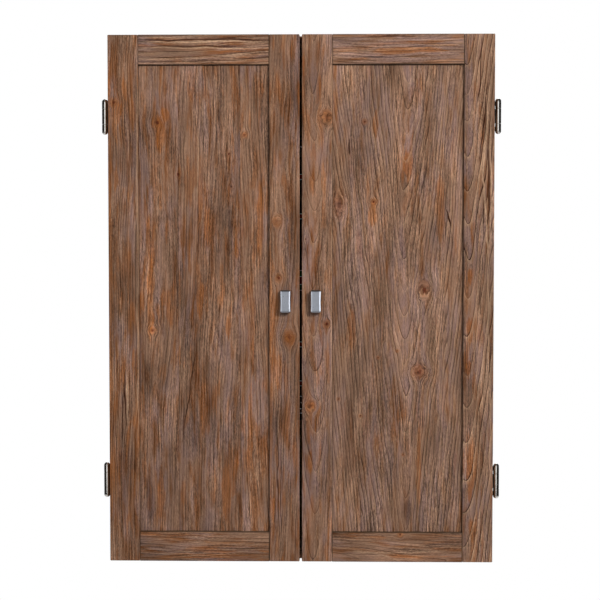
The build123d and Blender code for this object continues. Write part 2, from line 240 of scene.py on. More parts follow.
def pine_group():
    """Colour and relief of pine. Grain is (along, across, depth) in millimetres on the board."""
    t, given, close = group(
        "pine",
        {
            "Grain": "Vector", "Shift": "Float", "Core": "Float", "Halo": "Float",
            "Orange": "Float", "Dark": "Float", "Light": "Float", "Seed": "Float",
            "Pith v": "Float", "Pith w": "Float", "Tilt": "Float", "Period": "Float",
            "Wash": "Float", "Ridges": "Float", "Tone": "Float", "Grime": "Float",
        },
        {"Color": "Color", "Roughness": "Float", "Height": "Float"},
    )
    u, v, w = t.parts(given["Grain"])
    far = t.math("MULTIPLY_ADD", given["Seed"], 997.0, u)
    flat = t.vector(far, t.add(v, given["Shift"]), w)
    warp = t.add(
        t.wander(flat, 4.5, (260, 60, 60)),
        t.wander(flat, 1.3, (72, 20, 20)),
        t.wander(flat, 0.2, (18, 5, 5)),
    )
    across = t.add(v, given["Shift"], warp)
    bent = t.vector(far, across, w)

    def apart(distance):
        """The grain taken from further along, for a noise that owes nothing to the others."""
        return t.vector(t.add(far, distance), across, w)

    # Growth rings round a pith that runs along the board below its face
    side = t.less(across, given["Pith v"])
    deep = t.less(w, given["Pith w"])
    radius = t.distance(side, deep)
    climb = t.add(t.times(given["Tilt"], u), t.wander(flat, 3.0, (240, 90, 90)))
    loose = t.add(radius, climb, t.wander(t.vector(radius, given["Seed"], 0.0), 2.6, (17, 1, 1), 2.0))
    phase = t.math("DIVIDE", loose, given["Period"])
    part = t.math("FRACT", phase)
    year = t.math("FLOOR", phase)
    vigour = t.random(t.math("MULTIPLY_ADD", given["Seed"], 13.7, year))
    along = t.noise(t.vector(far, t.times(year, 7.3), 0.0), 2.0, 0.5, (95, 1, 1))
    strong = t.times(t.math("MULTIPLY_ADD", vigour, 0.6, 0.5), t.step(along, 0.28, 0.52))
    slope = t.add(t.math("DIVIDE", t.math("ABSOLUTE", side), radius), t.math("ABSOLUTE", given["Tilt"]))
    year_width = t.math("DIVIDE", given["Period"], t.math("MAXIMUM", slope, 0.05))
    before = t.times(t.less(1.0, part), year_width)
    after = t.times(part, year_width)
    late = t.times(t.high(t.step(before, 1.6, 0.6), t.times(t.step(before, 4.5, 0.5), 0.2)), strong)
    early = t.times(t.math("EXPONENT", t.times(after, -0.65)), t.math("MULTIPLY_ADD", strong, 0.8, 0.2))

    # Fibres and streaks that follow the rings
    fibre = t.noise(bent, 3.0, 0.65, (64, 1.0, 1.0))
    fine = t.noise(bent, 2.0, 0.65, (5, 0.9, 0.9))
    pores = t.noise(bent, 2.0, 0.7, (7, 0.4, 0.4))
    check = t.noise(bent, 2.0, 0.55, (34, 1.4, 1.4))
    limed = t.noise(apart(431.0), 2.0, 0.55, (52, 1.4, 1.4))
    streak = t.noise(bent, 2.0, 0.55, (85, 3.0, 3.0))
    tint = t.noise(bent, 3.0, 0.62, (60, 8.0, 8.0))
    broad = t.noise(bent, 3.0, 0.55, (125, 19, 19))
    cloud = t.noise(bent, 2.0, 0.5, (120, 34, 34))
    amber = t.noise(bent, 2.0, 0.45, (62, 10, 10))
    lively = t.step(t.noise(apart(733.0), 2.0, 0.5, (110, 23, 23)), 0.36, 0.62)
    level = t.noise(apart(211.0), 3.0, 0.6, (130, 30, 30))

    # Colour: old brown under a grey wash, warm flames, ring lines, cracks and lime, knots, then dust and
    # painted shade at the edges
    mixed = t.add(t.times(broad, 0.45), t.times(tint, 0.55), t.times(given["Wash"], 0.2))
    shade = t.mix(t.step(mixed, 0.5, 0.68), BROWN, WASH)
    cool = t.step(t.add(cloud, t.times(given["Wash"], 0.2)), 0.54, 0.76)
    shade = t.mix(t.times(cool, t.step(tint, 0.36, 0.6), 0.85), shade, GREY)
    spread = t.times(t.math("SUBTRACT", 1.2, given["Wash"], clamp=True), 1.3)
    warm = t.high(given["Orange"], t.times(t.step(amber, 0.56, 0.66), spread))
    shade = t.mix(t.times(t.step(streak, 0.46, 0.3), lively, 0.18), shade, DARK_LINE)
    shade = t.mix(t.times(t.step(streak, 0.56, 0.72), 0.14), shade, PALE_AND_LIT)
    shade = t.mix(t.times(warm, 0.72), shade, ORANGE)
    # Late wood darker and early wood paler: the wood's own colour, and as Ridges grows, painted shade in
    # the brushed grooves and painted highlight on the ridges
    shade = t.mix(t.times(late, t.math("MULTIPLY_ADD", given["Ridges"], 0.25, 0.35)), shade, DARK_LINE)
    shade = t.mix(t.times(early, given["Ridges"], 0.45), shade, PALE_AND_LIT)
    busy = t.math("MULTIPLY_ADD", lively, 0.7, 0.3)
    split = t.times(t.step(check, 0.61, 0.66), busy)
    shade = t.mix(t.times(split, 0.75), shade, DARK_LINE)
    shade = t.mix(t.times(t.step(limed, 0.6, 0.66), busy, 0.55), shade, PALE_AND_LIT)
    # Light and dark flames from the board's list, among them painted highlight and painted shade of
    # brushed grooves and ridges
    shade = t.mix(given["Light"], shade, PALE_AND_LIT)
    shade = t.mix(given["Dark"], shade, DARK_LINE)
    shade = t.mix(t.times(given["Halo"], 0.65), shade, ORANGE)
    shade = t.mix(given["Core"], shade, RED_BROWN)
    # Dust, and painted shade in the recess, along the edges of the visible face
    shade = t.mix(given["Grime"], shade, DUST_AND_SHADE)

    # Brightness of the fibres
    thread = t.add(t.times(t.less(fibre, 0.5), 2.7), t.times(t.less(fine, 0.5), 2.2))
    cut = t.step(pores, 0.4, 0.26)
    value = t.add(1.0, t.times(thread, t.math("MULTIPLY_ADD", lively, 0.65, 0.5)), t.times(cut, -0.2))
    value = t.times(value, t.math("MULTIPLY_ADD", level, 1.8, 0.1))
    shade = t.gain(shade, t.times(t.math("MAXIMUM", value, 0.35), given["Tone"]))

    # Relief: brushed early wood stands proud of late wood, pores and cracks
    height = t.add(
        t.times(early, given["Ridges"], 0.5),
        t.times(late, -0.75),
        t.times(t.less(streak, 0.5), 0.9),
        t.times(t.less(fibre, 0.5), 0.7),
        t.times(t.less(fine, 0.5), 0.22),
        t.times(given["Dark"], -0.7),
        t.times(split, -0.7),
        t.times(given["Core"], 0.35),
        t.times(cut, -0.12),
    )
    rough = t.math("MULTIPLY_ADD", fibre, -0.12, 0.76)
    return close(Color=shade, Roughness=rough, Height=height)


def knot_group():
    """A knot: the grain swerves round it, with a dark core and a warm halo."""
    t, given, close = group(
        "knot",
        {"Grain": "Vector", "u": "Float", "v": "Float", "Size": "Float", "Long": "Float",
         "Swerve": "Float", "Core depth": "Float", "Halo depth": "Float"},
        {"Shift": "Float", "Core": "Float", "Halo": "Float"},
    )
    u, v, w = t.parts(given["Grain"])
    du = t.less(u, given["u"])
    dv = t.less(v, given["v"])
    ragged = t.wander(given["Grain"], 0.34, (6, 4, 9), 2.0)
    a = t.math("DIVIDE", du, t.times(given["Size"], given["Long"]))
    b = t.math("DIVIDE", dv, given["Size"])
    d = t.add(t.distance(a, b), ragged)
    reach = t.math("DIVIDE", d, 2.6)
    bulge = t.math("EXPONENT", t.times(reach, reach, -1.0))
    shift = t.times(dv, bulge, given["Swerve"], -1.0)
    core = t.times(t.step(d, 0.85, 0.3), given["Core depth"])
    halo = t.times(t.step(d, 2.9, 0.7), given["Halo depth"])
    return close(Shift=shift, Core=core, Halo=halo)


def patch_group():
    """A flame of colour along the grain, with feathered ends. Lean tilts it across the grain."""
    t, given, close = group(
        "patch",
        {"Grain": "Vector", "u": "Float", "v": "Float", "Half length": "Float",
         "Half width": "Float", "Lean": "Float", "Taper": "Float"},
        {"Mask": "Float"},
    )
    u, v, w = t.parts(given["Grain"])
    du = t.less(u, given["u"])
    wobble = t.wander(given["Grain"], 1.6, (40, 9, 20))
    dv = t.add(t.less(v, given["v"]), t.times(du, given["Lean"]), wobble)
    a = t.math("DIVIDE", du, given["Half length"])
    width = t.times(given["Half width"], t.math("MAXIMUM", t.add(1.0, t.times(a, given["Taper"])), 0.12))
    b = t.math("DIVIDE", dv, width)
    feather = t.wander(given["Grain"], 0.3, (26, 1.6, 5), 2.0)
    d = t.add(t.distance(a, b), feather)
    return close(Mask=t.step(d, 1.1, 0.75))


PINE = pine_group()
KNOT = knot_group()
PATCH = patch_group()


def knot(u, v, size, long=1.0, swerve=0.85, core=0.9, halo=0.75):
    """A knot for a board's list of features, at u along and v across the board."""
    return ("knot", (u, v, size, long, swerve, core, halo))


def patch(kind, u, v, half_length, half_width, lean=0.0, taper=0.0, depth=1.0):
    """A flame of one kind for a board's list of features."""
    return (kind, (u, v, half_length, half_width, lean, taper, depth))


orange = partial(patch, "orange")
dark = partial(patch, "dark")
light = partial(patch, "light")


def wood(name, axes, seed, features=(), pith=(0.0, -90.0), tilt=0.02, period=5.0, wash=0.6,
         ridges=1.0, tone=1.0, seams=(), corners=None):
    """Pine with its grain along the first of the axes, u. The second, v, runs across the board.
    Pith is where the heart of the tree ran, as v and depth, and tilt how fast the rings climb.
    Seams are where boards meet, as v. Corners are the limits (u, u, v, v) of the visible face,
    where old finish and dust gather and where shade is painted along the recess at its edges.
    """
    made, t, shader = material(name)
    there = dict(zip("XYZ", t.parts(t.place())))
    u, v, w = [there[axis] for axis in axes]
    grain = t.vector(u, v, w)
    shift, core, halo = 0.0, 0.0, 0.0
    masks = {"orange": 0.0, "dark": 0.0, "light": 0.0}
    for kind, numbers in features:
        if kind == "knot":
            at_u, at_v, size, long, swerve, core_depth, halo_depth = numbers
            out = t.call(KNOT, Grain=grain, u=at_u, v=at_v, Size=size, Long=long, Swerve=swerve,
                         Core_depth=core_depth, Halo_depth=halo_depth)
            shift = t.add(shift, out["Shift"])
            core = t.high(core, out["Core"])
            halo = t.high(halo, out["Halo"])
        else:
            at_u, at_v, half_length, half_width, lean, taper, depth = numbers
            out = t.call(PATCH, Grain=grain, u=at_u, v=at_v, Half_length=half_length,
                         Half_width=half_width, Lean=lean, Taper=taper)
            masks[kind] = t.high(masks[kind], t.times(out["Mask"], depth))
    board = 0.0
    for seam in seams:
        board = t.add(board, t.math("GREATER_THAN", v, float(seam)))
        joint = t.step(t.math("ABSOLUTE", t.less(v, float(seam))), 0.7, 0.2)
        masks["dark"] = t.high(masks["dark"], t.times(joint, 0.45))
    dust_and_shade = 0.0
    # Bands along each edge of the visible face: dust, and painted shade where the face meets the recess
    # beside it
    if corners:
        u_low, u_high, v_low, v_high = corners
        uneven = t.wander(grain, 0.35, (14, 14, 14), 2.0)
        for value, limit, width, depth in (
            (u, u_low, 1.4, 0.8), (u, u_high, 1.5, 0.9), (v, v_low, 1.2, 0.6), (v, v_high, 1.2, 0.6),
        ):
            near = t.add(t.math("ABSOLUTE", t.less(value, limit)), uneven)
            dust_and_shade = t.high(dust_and_shade, t.times(t.step(near, width, 0.5), depth))
    own = t.add(board, float(seed))
    moved = t.times(t.less(t.random(t.times(own, 3.1)), 0.5), 150.0 if seams else 0.0)
    out = t.call(
        PINE, Grain=grain, Shift=shift, Core=core, Halo=halo, Orange=masks["orange"],
        Dark=masks["dark"], Light=masks["light"], Seed=own, Pith_v=t.add(moved, float(pith[0])),
        Pith_w=float(pith[1]), Tilt=tilt, Period=period, Wash=wash, Ridges=ridges, Tone=tone,
        Grime=dust_and_shade,
    )
    surface(t, shader, out["Color"], out["Roughness"], out["Height"], 0.55, specular=0.2)
    return made


def dress(name, finish):
    """Gives a CAD node its finish."""
    mesh = nodes[name].data
    mesh.materials.clear()
    mesh.materials.append(finish)


# Axes along the grain, across the board and into it
UPRIGHT = ("Z", "X", "Y")
LEVEL = ("X", "Z", "Y")
SIDES = ("Z", "Y", "X")
SHELVES = ("X", "Y", "Z")

# Limits of the openings and rails of the doors, in millimetres
LEFT = (-257.0, -49.85)
RIGHT = (49.85, 257.0)
OPENING = (-401.0, 341.0)
TOP_RAIL = (341.0, 388.0)
BOTTOM_RAIL = (-448.0, -401.0)

dress("left_outer_stile", wood(
    "pine left outer stile", UPRIGHT, 3, pith=(-240.0, -90.0), tilt=0.012, period=3.2, wash=0.45,
    tone=1.05,
    features=[
        knot(282, -295, 4.0), orange(272, -286, 12, 6),
        orange(-20, -305, 430, 6.0), orange(-330, -293, 85, 7, depth=0.6),
        # Pale line along the inner edge that faces the key lamp: wash, and painted highlight
        light(40, -258.5, 330, 2.0, depth=0.5),
        dark(-195, -279, 42, 0.9, lean=0.02), light(-190, -276, 45, 1.0, depth=0.7),
        dark(-215, -283, 40, 0.8, lean=-0.02),
    ]))
dress("left_panel", wood(
    "pine left panel", UPRIGHT, 11, pith=(-120.0, -92.0), tilt=0.035, period=4.4, wash=0.65,
    ridges=0.8, tone=1.03,
    seams=(-194.5, -96.0), corners=(*OPENING, *LEFT),
    features=[
        knot(250, -227, 5.0), orange(232, -222, 30, 8), orange(262, -215, 12, 7),
        knot(169, -195, 2.0, 2.2, 0.8, 1.0, 0.3), knot(201, -114, 1.8, 2.0, 0.8, 1.0, 0.2),
        knot(149, -110, 2.4, 1.6, 0.9, 1.0, 0.3), knot(231, -89, 3.0, 1.0, 1.0, 0.6, 0.9),
        knot(-79, -236, 3.6, 1.0, 1.0, 0.8, 0.5),
        orange(85, -147.5, 34, 7, taper=0.4), orange(93, -65, 65, 6),
        orange(-25, -239, 75, 6), orange(-49, -208, 24, 7),
        orange(-33, -160, 32, 6.5, taper=0.3), orange(-73, -116, 18, 5),
        orange(-205, -155, 48, 6), orange(-235, -81, 65, 4.5),
        orange(-335, -119, 60, 8), orange(-340, -223, 50, 6),
        dark(-190, -179, 84, 1.0, lean=-0.157, depth=0.8),
        dark(-348, -242, 42, 6, depth=0.45), dark(75, -163, 60, 0.9, depth=0.7),
        light(190, -163, 60, 1.4, depth=0.6),
    ]))
dress("left_inner_stile", wood(
    "pine left inner stile", UPRIGHT, 23, pith=(8.0, -92.0), tilt=0.03, period=4.0, wash=0.6,
    tone=1.04,
    features=[
        knot(96, -38, 4.0, 1.3, 1.4, 0.2, 0.3), knot(4.5, -35, 3.0, 1.3, 1.3, 0.9, 0.8),
        knot(-89, -18, 5.0, 1.3, 1.3, 0.45, 0.8),
        dark(-320, -36, 120, 0.9, lean=0.01, depth=0.8),
        dark(-300, -31, 130, 0.7, lean=-0.008, depth=0.7),
        orange(-120, -47, 260, 2.5, depth=0.7),
    ]))
dress("right_inner_stile", wood(
    "pine right inner stile", UPRIGHT, 31, pith=(20.0, -94.0), tilt=-0.07, period=4.4, wash=0.75,
    tone=1.04,
    features=[
        knot(257, 41, 6.0, 1.1, 1.3, 0.45, 0.95), knot(66, 8, 1.8, 1.3, 0.8, 1.0, 0.2),
        knot(-68, 41, 3.2, 1.2, 1.2, 1.0, 0.8), knot(-198, 16, 4.6, 1.0, 1.3, 0.6, 1.0),
        # The pale line along the inner edge that faces the key lamp is wash, and painted highlight
        orange(-287, 15.5, 20, 4.5), light(0, 49.0, 420, 1.3, depth=0.4),
    ]))
dress("right_panel", wood(
    "pine right panel", UPRIGHT, 47, pith=(167.0, -92.0), tilt=-0.1, period=4.8, wash=0.95,
    ridges=1.5, corners=(*OPENING, *RIGHT),
    features=[
        knot(251, 101, 2.6, 1.0, 1.0, 1.0, 0.8), dark(212, 76, 12, 2.0, depth=0.9),
        dark(240, 80, 16, 1.0, depth=0.8), knot(121, 61, 5.5, 2.2, 1.0, 0.45, 0.6),
        knot(125, 115, 3.0, 1.0, 1.1, 1.0, 1.0), orange(104, 114, 18, 8),
        orange(178, 169, 32, 7, taper=0.85), orange(250, 118, 22, 4, taper=-0.3),
        orange(116, 220, 55, 9), dark(100, 234, 18, 1.1, lean=0.2),
        knot(-14.5, 196, 4.5, 1.7, 1.6, 0.85, 0.5), knot(-144, 188, 6.5, 1.0, 1.2, 0.75, 0.85),
        knot(-111, 153, 1.6), knot(-122, 123, 1.6), knot(-215, 95, 1.6), knot(-277, 163, 1.6),
        knot(-188, 60, 1.6), orange(-77, 81, 36, 8), orange(-287, 188, 65, 4.5),
        dark(-260, 78, 70, 9, depth=0.4), dark(-370, 171, 20, 7, depth=0.35),
    ]))
dress("right_outer_stile", wood(
    "pine right outer stile", UPRIGHT, 59, pith=(262.0, -94.0), tilt=-0.1, period=5.4, wash=0.8,
    ridges=2.6, tone=0.91,
    features=[
        orange(-81, 267, 22, 5, taper=0.7), orange(-305, 270, 50, 8, taper=0.7),
        orange(-398, 272, 20, 5, taper=0.6), orange(6, 267, 14, 4, taper=0.6),
        orange(-141, 267, 16, 4, taper=0.6), light(215, 291, 70, 1.2, lean=-0.09),
        light(95, 292, 80, 1.2, lean=0.07), light(160, 299, 120, 1.0),
        dark(150, 295.5, 60, 1.8, depth=0.85), dark(250, 287, 60, 1.0, lean=-0.11),
        light(-60, 296, 120, 1.1, depth=0.8), light(-210, 300, 110, 1.0, depth=0.7),
        dark(330, 282, 60, 1.1, lean=-0.05, depth=0.8),
    ]))
dress("left_top_rail", wood(
    "pine left top rail", LEVEL, 71, pith=(420.0, -80.0), tilt=0.03, period=6.0, wash=0.7,
    ridges=1.6, tone=1.03, corners=(*LEFT, *TOP_RAIL),
    features=[
        # Light lines with a dark line just above them: painted highlight and painted shade of brushed
        # grooves
        light(-150, 377, 105, 1.3), dark(-150, 380, 110, 1.2, depth=0.9),
        light(-170, 367, 95, 1.2, depth=0.9), dark(-175, 369.5, 85, 1.0, depth=0.7),
    ]))
dress("right_top_rail", wood(
    "pine right top rail", LEVEL, 83, pith=(320.0, -90.0), tilt=0.02, period=4.2, wash=0.85,
    tone=1.03, corners=(*RIGHT, *TOP_RAIL),
    features=[
        orange(165, 362, 62, 5.0), dark(130, 383, 60, 1.0, depth=0.7),
        orange(120, 385, 70, 2.0, depth=0.6),
    ]))
dress("left_bottom_rail", wood(
    "pine left bottom rail", LEVEL, 97, pith=(-460.0, -90.0), tilt=0.03, period=4.4, wash=0.6,
    tone=0.97, corners=(*LEFT, *BOTTOM_RAIL),
    features=[orange(-140, -440, 95, 4.0, depth=0.7)]))
dress("right_bottom_rail", wood(
    "pine right bottom rail", LEVEL, 101, pith=(-445.0, -95.0), tilt=0.06, period=4.4, wash=0.7,
    ridges=1.2, corners=(*RIGHT, *BOTTOM_RAIL),
    features=[
        # The light line with a dark line just below it is a painted highlight and painted shade of a
        # brushed ridge
        knot(158, -404, 2.6, 1.0, 1.2, 0.9, 0.7), light(150, -432, 90, 1.1, depth=0.6),
        dark(150, -435, 90, 1.0, depth=0.6),
    ]))

dress("case_left_side", wood(
    "pine case left side", SIDES, 113, pith=(-40.0, -285.0), tilt=0.08, period=4.6,
    features=[knot(120, -60, 6.0), knot(-210, -28, 4.0), orange(-60, -50, 90, 8)]))
dress("case_right_side", wood(
    "pine case right side", SIDES, 127, pith=(-55.0, 285.0), tilt=-0.08, period=4.6,
    features=[knot(-120, -48, 6.0), knot(240, -64, 4.0), orange(90, -30, 80, 8)]))
dress("case_top", wood("pine case top", SHELVES, 131, pith=(-45.0, 370.0), tilt=0.08, period=4.6,
                       features=[knot(90, -50, 5.0), knot(-180, -30, 4.0)]))
dress("case_bottom", wood("pine case bottom", SHELVES, 137, pith=(-30.0, -430.0), tilt=0.08, period=4.6))
for side, seed in (("left", 151), ("right", 157)):
    heart = (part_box(f"{side}_dart_rack")[0].z + 0.004) / MM
    dress(f"{side}_dart_rack", wood(f"pine {side} rack", LEVEL, seed, pith=(heart, -60.0),
                                    tilt=0.05, period=4.0))


# ---- Other finishes ----

# Regulation board, radii in millimetres
BULL = 6.35
OUTER_BULL = 15.9
TREBLE = 107.0
DOUBLE = 170.0
BED = 8.0
SEGMENT = 18.0  # degrees
SEGMENTS = 20


def ply():
    """Birch plywood, oiled, with its plies showing at the edges."""
    made, t, shader = material("birch ply")
    there = t.place()
    x, y, z = t.parts(there)
    flat = t.vector(z, t.add(x, t.wander(there, 9.0, (90, 200, 260))), y)
    figure = t.noise(flat, 3.0, 0.6, (150, 9, 60))
    lines = t.noise(flat, 3.0, 0.6, (70, 1.2, 9))
    flecks = t.noise(flat, 2.0, 0.5, (9, 0.8, 2))
    shade = t.mix(t.step(figure, 0.35, 0.65), colour(178, 142, 98), colour(202, 169, 124))
    shade = t.mix(t.times(t.step(lines, 0.5, 0.75), 0.5), shade, colour(150, 112, 72))
    shade = t.mix(t.times(t.step(flecks, 0.6, 0.7), 0.35), shade, colour(128, 92, 58))
    ply_t, panel_end = 3.0, 294.0
    part = t.math("FRACT", t.math("DIVIDE", y, ply_t))
    inner = t.step(t.math("ABSOLUTE", t.less(part, 0.5)), 0.16, 0.12)
    edge = t.step(t.math("ABSOLUTE", x), panel_end, panel_end + 0.6)
    shade = t.mix(t.times(inner, edge), shade, colour(120, 84, 52))
    surface(t, shader, shade, 0.7, t.add(lines, t.times(flecks, 0.6)), 0.25)
    return made


def cork():
    """Fine cork sheet of pressed granules."""
    made, t, shader = material("cork")
    there = t.place()
    cells = t.node("TexVoronoi")
    t.put(t.stretch(there, 2.6, 2.6, 2.6), cells.inputs["Vector"])
    cells.inputs["Scale"].default_value = 1.0
    pick = t.parts(cells.outputs["Color"])[0]
    shade = t.mix(pick, colour(150, 104, 62), colour(196, 152, 102))
    specks = t.noise(there, 2.0, 0.6, (1.1, 1.1, 1.1))
    shade = t.mix(t.step(specks, 0.6, 0.72), shade, colour(84, 54, 34))
    height = t.less(specks, t.times(cells.outputs["Distance"], 0.5))
    surface(t, shader, shade, 0.92, height, 0.35, specular=0.2)
    return made


def slate(side):
    """Chalkboard paint with the haze of wiped chalk."""
    made, t, shader = material(f"{side} chalkboard")
    there = t.place()
    x, y, z = t.parts(there)
    swept = t.vector(t.add(x, t.times(z, 0.4)), y, t.add(z, t.wander(there, 8.0, (120, 50, 120))))
    haze = t.noise(swept, 5.0, 0.55, (150, 60, 190))
    streaks = t.noise(swept, 4.0, 0.7, (120, 9, 2.2))
    grit = t.noise(there, 2.0, 0.7, (0.7, 0.7, 0.7))
    dust = t.add(t.times(t.step(haze, 0.35, 0.75), 0.1), t.times(t.step(streaks, 0.5, 0.8), 0.04))
    shade = t.mix(t.times(dust, t.add(0.5, grit)), colour(38, 42, 41), colour(186, 190, 186))
    surface(t, shader, shade, 0.86, grit, 0.08)
    return made


def metal(name, shade, rough, brushed, tarnish):
    """Metal with fine brushing, drawn out as the size of its grain says, and faint uneven wear."""
    made, t, shader = material(name)
    there = t.place()
    lines = t.noise(there, 2.0, 0.6, brushed)
    cloud = t.noise(there, 3.0, 0.6, (9, 9, 9))
    base = t.mix(t.times(t.step(cloud, 0.45, 0.75), tarnish), shade, colour(96, 88, 78))
    base = t.gain(base, t.math("MULTIPLY_ADD", lines, 0.24, 0.88))
    rough = t.add(rough - 0.06, t.times(lines, 0.08), t.times(cloud, 0.06))
    surface(t, shader, base, rough, lines, 0.02, metallic=1.0)
    return made


def solid(name, shade, other, rough, grain=(1.5, 1.5, 1.5), depth=0.05, specular=0.5):
    """Plastic, rubber, paint or board with a fine mottle."""
    made, t, shader = material(name)
    there = t.place()
    fine = t.noise(there, 3.0, 0.6, grain)
    coarse = t.noise(there, 2.0, 0.5, tuple(12 * g for g in grain))
    mottle = t.step(t.add(t.times(fine, 0.6), t.times(coarse, 0.4)), 0.35, 0.65)
    rough = t.math("MULTIPLY_ADD", coarse, 0.14, rough - 0.07)
    surface(t, shader, t.mix(mottle, shade, other), rough, fine, depth, specular)
    return made


def sisal():
    """Dyed ends of sisal fibre: twenty beds, doubles, trebles and bull on a black board."""
    made, t, shader = material("sisal")
    there = t.place()
    x, y, z = t.parts(there)
    radius = t.distance(x, z)
    turn = t.math("DIVIDE", t.math("ARCTAN2", x, z), math.radians(SEGMENT))
    odd = t.math("GREATER_THAN", t.math("FLOORED_MODULO", t.add(turn, 0.5), 2.0), 1.0)

    def between(low, high):
        return t.times(t.math("GREATER_THAN", radius, low), t.math("LESS_THAN", radius, high))

    black, cream = colour(24, 23, 22), colour(214, 196, 158)
    red, green = colour(172, 34, 30), colour(20, 96, 54)
    ring = t.high(between(DOUBLE - BED, DOUBLE), between(TREBLE - BED, TREBLE))
    shade = t.mix(odd, black, cream)
    shade = t.mix(ring, shade, t.mix(odd, red, green))
    shade = t.mix(t.math("LESS_THAN", radius, OUTER_BULL), shade, green)
    shade = t.mix(t.math("LESS_THAN", radius, BULL), shade, red)
    shade = t.mix(t.math("GREATER_THAN", radius, DOUBLE), shade, black)
    tufts = t.node("TexVoronoi")
    t.put(t.stretch(there, 1.6, 9.0, 1.6), tufts.inputs["Vector"])
    tufts.inputs["Scale"].default_value = 1.0
    ends = t.noise(there, 3.0, 0.7, (0.45, 5.0, 0.45))
    value = t.add(0.82, t.times(t.parts(tufts.outputs["Color"])[0], 0.2), t.times(t.less(ends, 0.5), 0.5))
    height = t.less(ends, t.times(tufts.outputs["Distance"], 0.6))
    surface(t, shader, t.gain(shade, value), 0.95, height, 0.35, specular=0.15)
    return made


def hinge_plate():
    """Polished nickel plate, with painted shade and a painted brown reflection of the door's wood in the
    corner between knuckle and leaf.
    """
    made, t, shader = material("polished nickel plate")
    there = t.place()
    x = t.math("ABSOLUTE", t.parts(there)[0])
    fine = t.noise(there, 2.0, 0.6, (2.2, 2.2, 2.2))
    cloud = t.noise(there, 3.0, 0.6, (8, 8, 8))
    base = t.mix(t.times(t.step(cloud, 0.45, 0.75), 0.4), colour(222, 218, 212), colour(122, 108, 90))
    door_edge, roll = 305.0, 309.6
    past_door = t.step(x, door_edge - 0.2, door_edge + 0.1)
    # Painted shade and painted brown reflection of the wood on the plate just past the door's edge, which
    # is also rougher there
    corner = t.times(past_door, t.step(t.add(x, t.times(fine, 0.4)), roll + 0.3, roll - 0.3))
    base = t.mix(t.times(corner, 0.93), base, colour(40, 32, 26))
    rough = t.add(0.07, t.times(fine, 0.05), t.times(corner, 0.3))
    surface(t, shader, base, rough, fine, 0.01, metallic=1.0)
    return made


NICKEL = metal("brushed nickel", colour(147, 151, 159), 0.28, (0.5, 0.5, 14.0), tarnish=0.12)
PLATE = hinge_plate()
ZINC = metal("zinc plated steel", colour(176, 176, 172), 0.34, (1.2, 1.2, 1.2), tarnish=0.3)
STRIKE = metal("brushed strike steel", colour(170, 170, 168), 0.38, (12.0, 0.4, 0.4), tarnish=0.2)
WIRE = metal("galvanised wire", colour(182, 184, 186), 0.3, (0.7, 0.7, 0.7), tarnish=0.15)
SHEET = metal("bracket sheet steel", colour(160, 162, 162), 0.42, (5.0, 5.0, 5.0), tarnish=0.35)
BAND = solid("black enamel band", colour(18, 18, 19), colour(34, 34, 35), 0.42,
             (3.0, 3.0, 3.0), 0.03)
PLASTIC = solid("brown catch plastic", colour(64, 42, 28), colour(72, 49, 34), 0.5, (0.8, 0.8, 0.8))
MAGNET = solid("ferrite", colour(42, 42, 44), colour(60, 60, 62), 0.55, (0.9, 0.9, 0.9))
RUBBER = solid("bumper rubber", colour(36, 35, 34), colour(48, 47, 46), 0.8,
               (0.9, 0.9, 0.9), 0.08, 0.3)
BOARD = solid("backer fibreboard", colour(118, 88, 60), colour(146, 113, 80), 0.85,
              (2.4, 1.0, 1.2), 0.1, 0.25)
PLY = ply()
DOWEL = wood("dowel beech", SHELVES, 163, period=3.0, tone=1.4)

for name in ("back_panel", "upper_hanging_rail", "lower_hanging_rail", "board_batten"):
    dress(name, PLY)
dress("case_dowels", DOWEL)
dress("cork_liner", cork())
dress("hinge_pins", PLATE)
dress("catch_magnets", MAGNET)
dress("board_bracket", SHEET)
dress("dartboard_backer", BOARD)
dress("dartboard_sisal", sisal())
dress("dartboard_rim", BAND)
dress("ring_clips", ZINC)
dress("board_feet", RUBBER)
dress("board_pivot_screw", ZINC)
for height in ("upper", "lower"):
    dress(f"{height}_catch", PLASTIC)
for side in ("left", "right"):
    dress(f"{side}_scoreboard", slate(side))
    dress(f"{side}_case_leaves", PLATE)
    dress(f"{side}_hinge_leaves", PLATE)
    dress(f"{side}_strike_plates", STRIKE)
    dress(f"{side}_bumpers", RUBBER)


# ---- Pieces made here ----


class Shape:
    """Collects points and faces of one piece."""

    def __init__(self):
        self.points = []
        self.faces = []

    def ring(self, points):
        """Adds a loop of points, and gives their numbers."""
        first = len(self.points)
        self.points += [tuple(p) for p in points]
        return list(range(first, first + len(points)))

    def bridge(self, a, b):
        """Joins two loops that have as many points."""
        for i in range(len(a)):
            j = (i + 1) % len(a)
            self.faces.append((a[i], a[j], b[j], b[i]))

    def tube(self, rings, closed=False):
        """Joins loops one after another, and either caps both ends or joins them too."""
        for a, b in zip(rings, rings[1:]):
            self.bridge(a, b)
        if closed:
            self.bridge(rings[-1], rings[0])
        else:
            self.faces.append(tuple(reversed(rings[0])))
            self.faces.append(tuple(rings[-1]))

    def done(self, name, finish, body, slot, *stands_for, smooth=40.0):
        """Makes the object, stands it in for CAD nodes and lets it ride on its body."""
        mesh = bpy.data.meshes.new(name)
        mesh.from_pydata(self.points, [], self.faces)
        mesh.validate()
        made = bpy.data.objects.new(name, mesh)
        bpy.context.scene.collection.objects.link(made)
        mesh.materials.append(finish)
        work = bmesh.new()
        work.from_mesh(mesh)
        bmesh.ops.recalc_face_normals(work, faces=work.faces)
        work.to_mesh(mesh)
        work.free()
        for face in mesh.polygons:
            face.use_smooth = True
        mesh.set_sharp_from_angle(angle=math.radians(smooth))
        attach(made, body)
        if stands_for:
            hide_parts(*stands_for)
        return made


def angles(count):
    """Even steps round a full turn."""
    return [2 * math.pi * i / count for i in range(count)]


